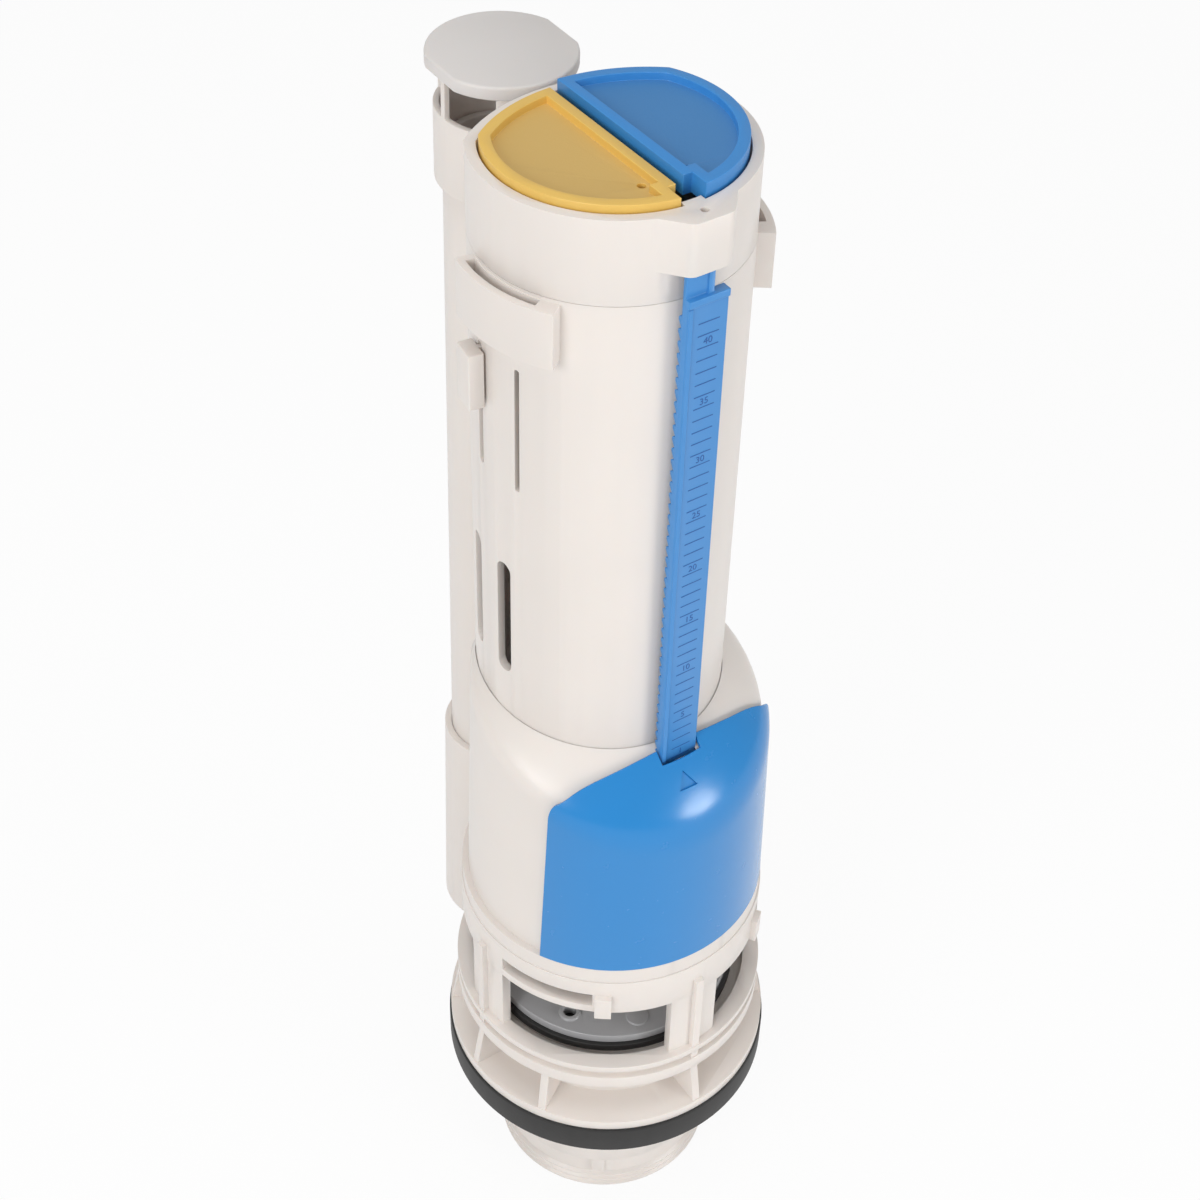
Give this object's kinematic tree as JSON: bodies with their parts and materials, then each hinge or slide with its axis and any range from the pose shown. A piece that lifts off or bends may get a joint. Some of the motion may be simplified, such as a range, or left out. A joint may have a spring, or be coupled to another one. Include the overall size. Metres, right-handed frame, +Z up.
{
  "type": "toilet flush valve",
  "caption": "Dual flush cistern valve with a split push button, a height adjustable tube and scale strip, a caged seat with threaded outlet, and an overflow pipe.",
  "frame": {"origin": "on the axis of the outlet shank, level with the underside of the rubber washer, where the cistern floor is", "axes": "+Z up along the outlet axis, -Y to the front where the scale strip is, +Y to the overflow pipe, +X to the right"},
  "size_m": [0.088, 0.1168, 0.322],
  "materials": {
    "white_plastic": "warm off-white moulded plastic, soft gloss",
    "cap_plastic": "grey-white moulded plastic, satin",
    "blue_plastic": "blue moulded plastic, polished",
    "strip_plastic": "lighter blue moulded plastic, satin",
    "button_blue": "blue moulded plastic, fine texture in the dish",
    "yellow_plastic": "yellow moulded plastic, fine texture in the dish",
    "inner_plastic": "plain white moulded plastic",
    "grey_plastic": "grey moulded plastic",
    "rubber": "black moulded rubber",
    "steel": "plain stainless pin"
  },
  "bodies": {
    "base": {"seat_base": "white_plastic", "mounting_washer": "rubber", "lower_body": "white_plastic", "front_cover": "blue_plastic", "overflow_elbow": "white_plastic", "elbow_seal": "rubber", "overflow_pipe": "white_plastic"},
    "overflow_top": {"overflow_sleeve": "white_plastic", "overflow_cap": "cap_plastic"},
    "upper": {"main_tube": "white_plastic", "head_ring": "white_plastic", "scale_strip": "strip_plastic", "lever_carrier": "inner_plastic", "lever_pins": "steel"},
    "half_button": {"half_button": "yellow_plastic"},
    "full_button": {"full_button": "button_blue"},
    "half_lever": {"half_lever": "grey_plastic"},
    "full_lever": {"full_lever": "grey_plastic"},
    "lift_rod": {"lift_rod": "inner_plastic"},
    "half_trip_rod": {"half_trip_rod": "inner_plastic"},
    "half_flush_float": {"half_float": "inner_plastic", "latch_slider": "white_plastic"},
    "valve": {"valve_stem": "inner_plastic", "valve_plate": "grey_plastic", "seal_ring": "rubber", "seal_retainer": "grey_plastic", "valve_float": "inner_plastic"}
  },
  "joints": [
    {"name": "height_adjust", "type": "slide", "parent": "base", "child": "upper", "axis": [0, 0, -1], "range_m": [0, 0.045]},
    {"name": "half_button_press", "type": "slide", "parent": "upper", "child": "half_button", "axis": [0, 0, -1], "range_m": [0, 0.008], "stiffness_N_per_m": 150, "springref_m": -0.004},
    {"name": "full_button_press", "type": "slide", "parent": "upper", "child": "full_button", "axis": [0, 0, -1], "range_m": [0, 0.008], "stiffness_N_per_m": 150, "springref_m": -0.004},
    {"name": "half_lever_turn", "type": "hinge", "parent": "upper", "child": "half_lever", "pos_m": [-0.01316, 0.009, 0.25], "axis": [0, -1, 0], "range_deg": [0, 54.2]},
    {"name": "full_lever_turn", "type": "hinge", "parent": "upper", "child": "full_lever", "pos_m": [0.01316, 0.009, 0.25], "axis": [0, 1, 0], "range_deg": [0, 54.2]},
    {"name": "lift_rod_rise", "type": "slide", "parent": "upper", "child": "lift_rod", "axis": [0, 0, 1], "range_m": [0, 0.0102]},
    {"name": "half_trip_rise", "type": "slide", "parent": "upper", "child": "half_trip_rod", "axis": [0, 0, 1], "range_m": [0, 0.0102]},
    {"name": "half_flush_set", "type": "slide", "parent": "upper", "child": "half_flush_float", "axis": [0, 0, -1], "range_m": [0, 0.014]},
    {"name": "valve_lift", "type": "slide", "parent": "base", "child": "valve", "axis": [0, 0, 1], "range_m": [0, 0.0102]},
    {"name": "overflow_sleeve_adjust", "type": "slide", "parent": "base", "child": "overflow_top", "axis": [0, -0.0253, 0.9997], "range_m": [0, 0.01]}
  ],
  "couplings": [
    {"joint": "half_lever_turn", "follows": "half_button_press", "rad_per_m": 117.97},
    {"joint": "full_lever_turn", "follows": "full_button_press", "rad_per_m": 117.97},
    {"joint": "lift_rod_rise", "follows": "full_button_press", "ratio": 1.2582},
    {"joint": "valve_lift", "follows": "full_button_press", "ratio": 1.2582},
    {"joint": "half_trip_rise", "follows": "half_button_press", "ratio": 1.2582}
  ]
}
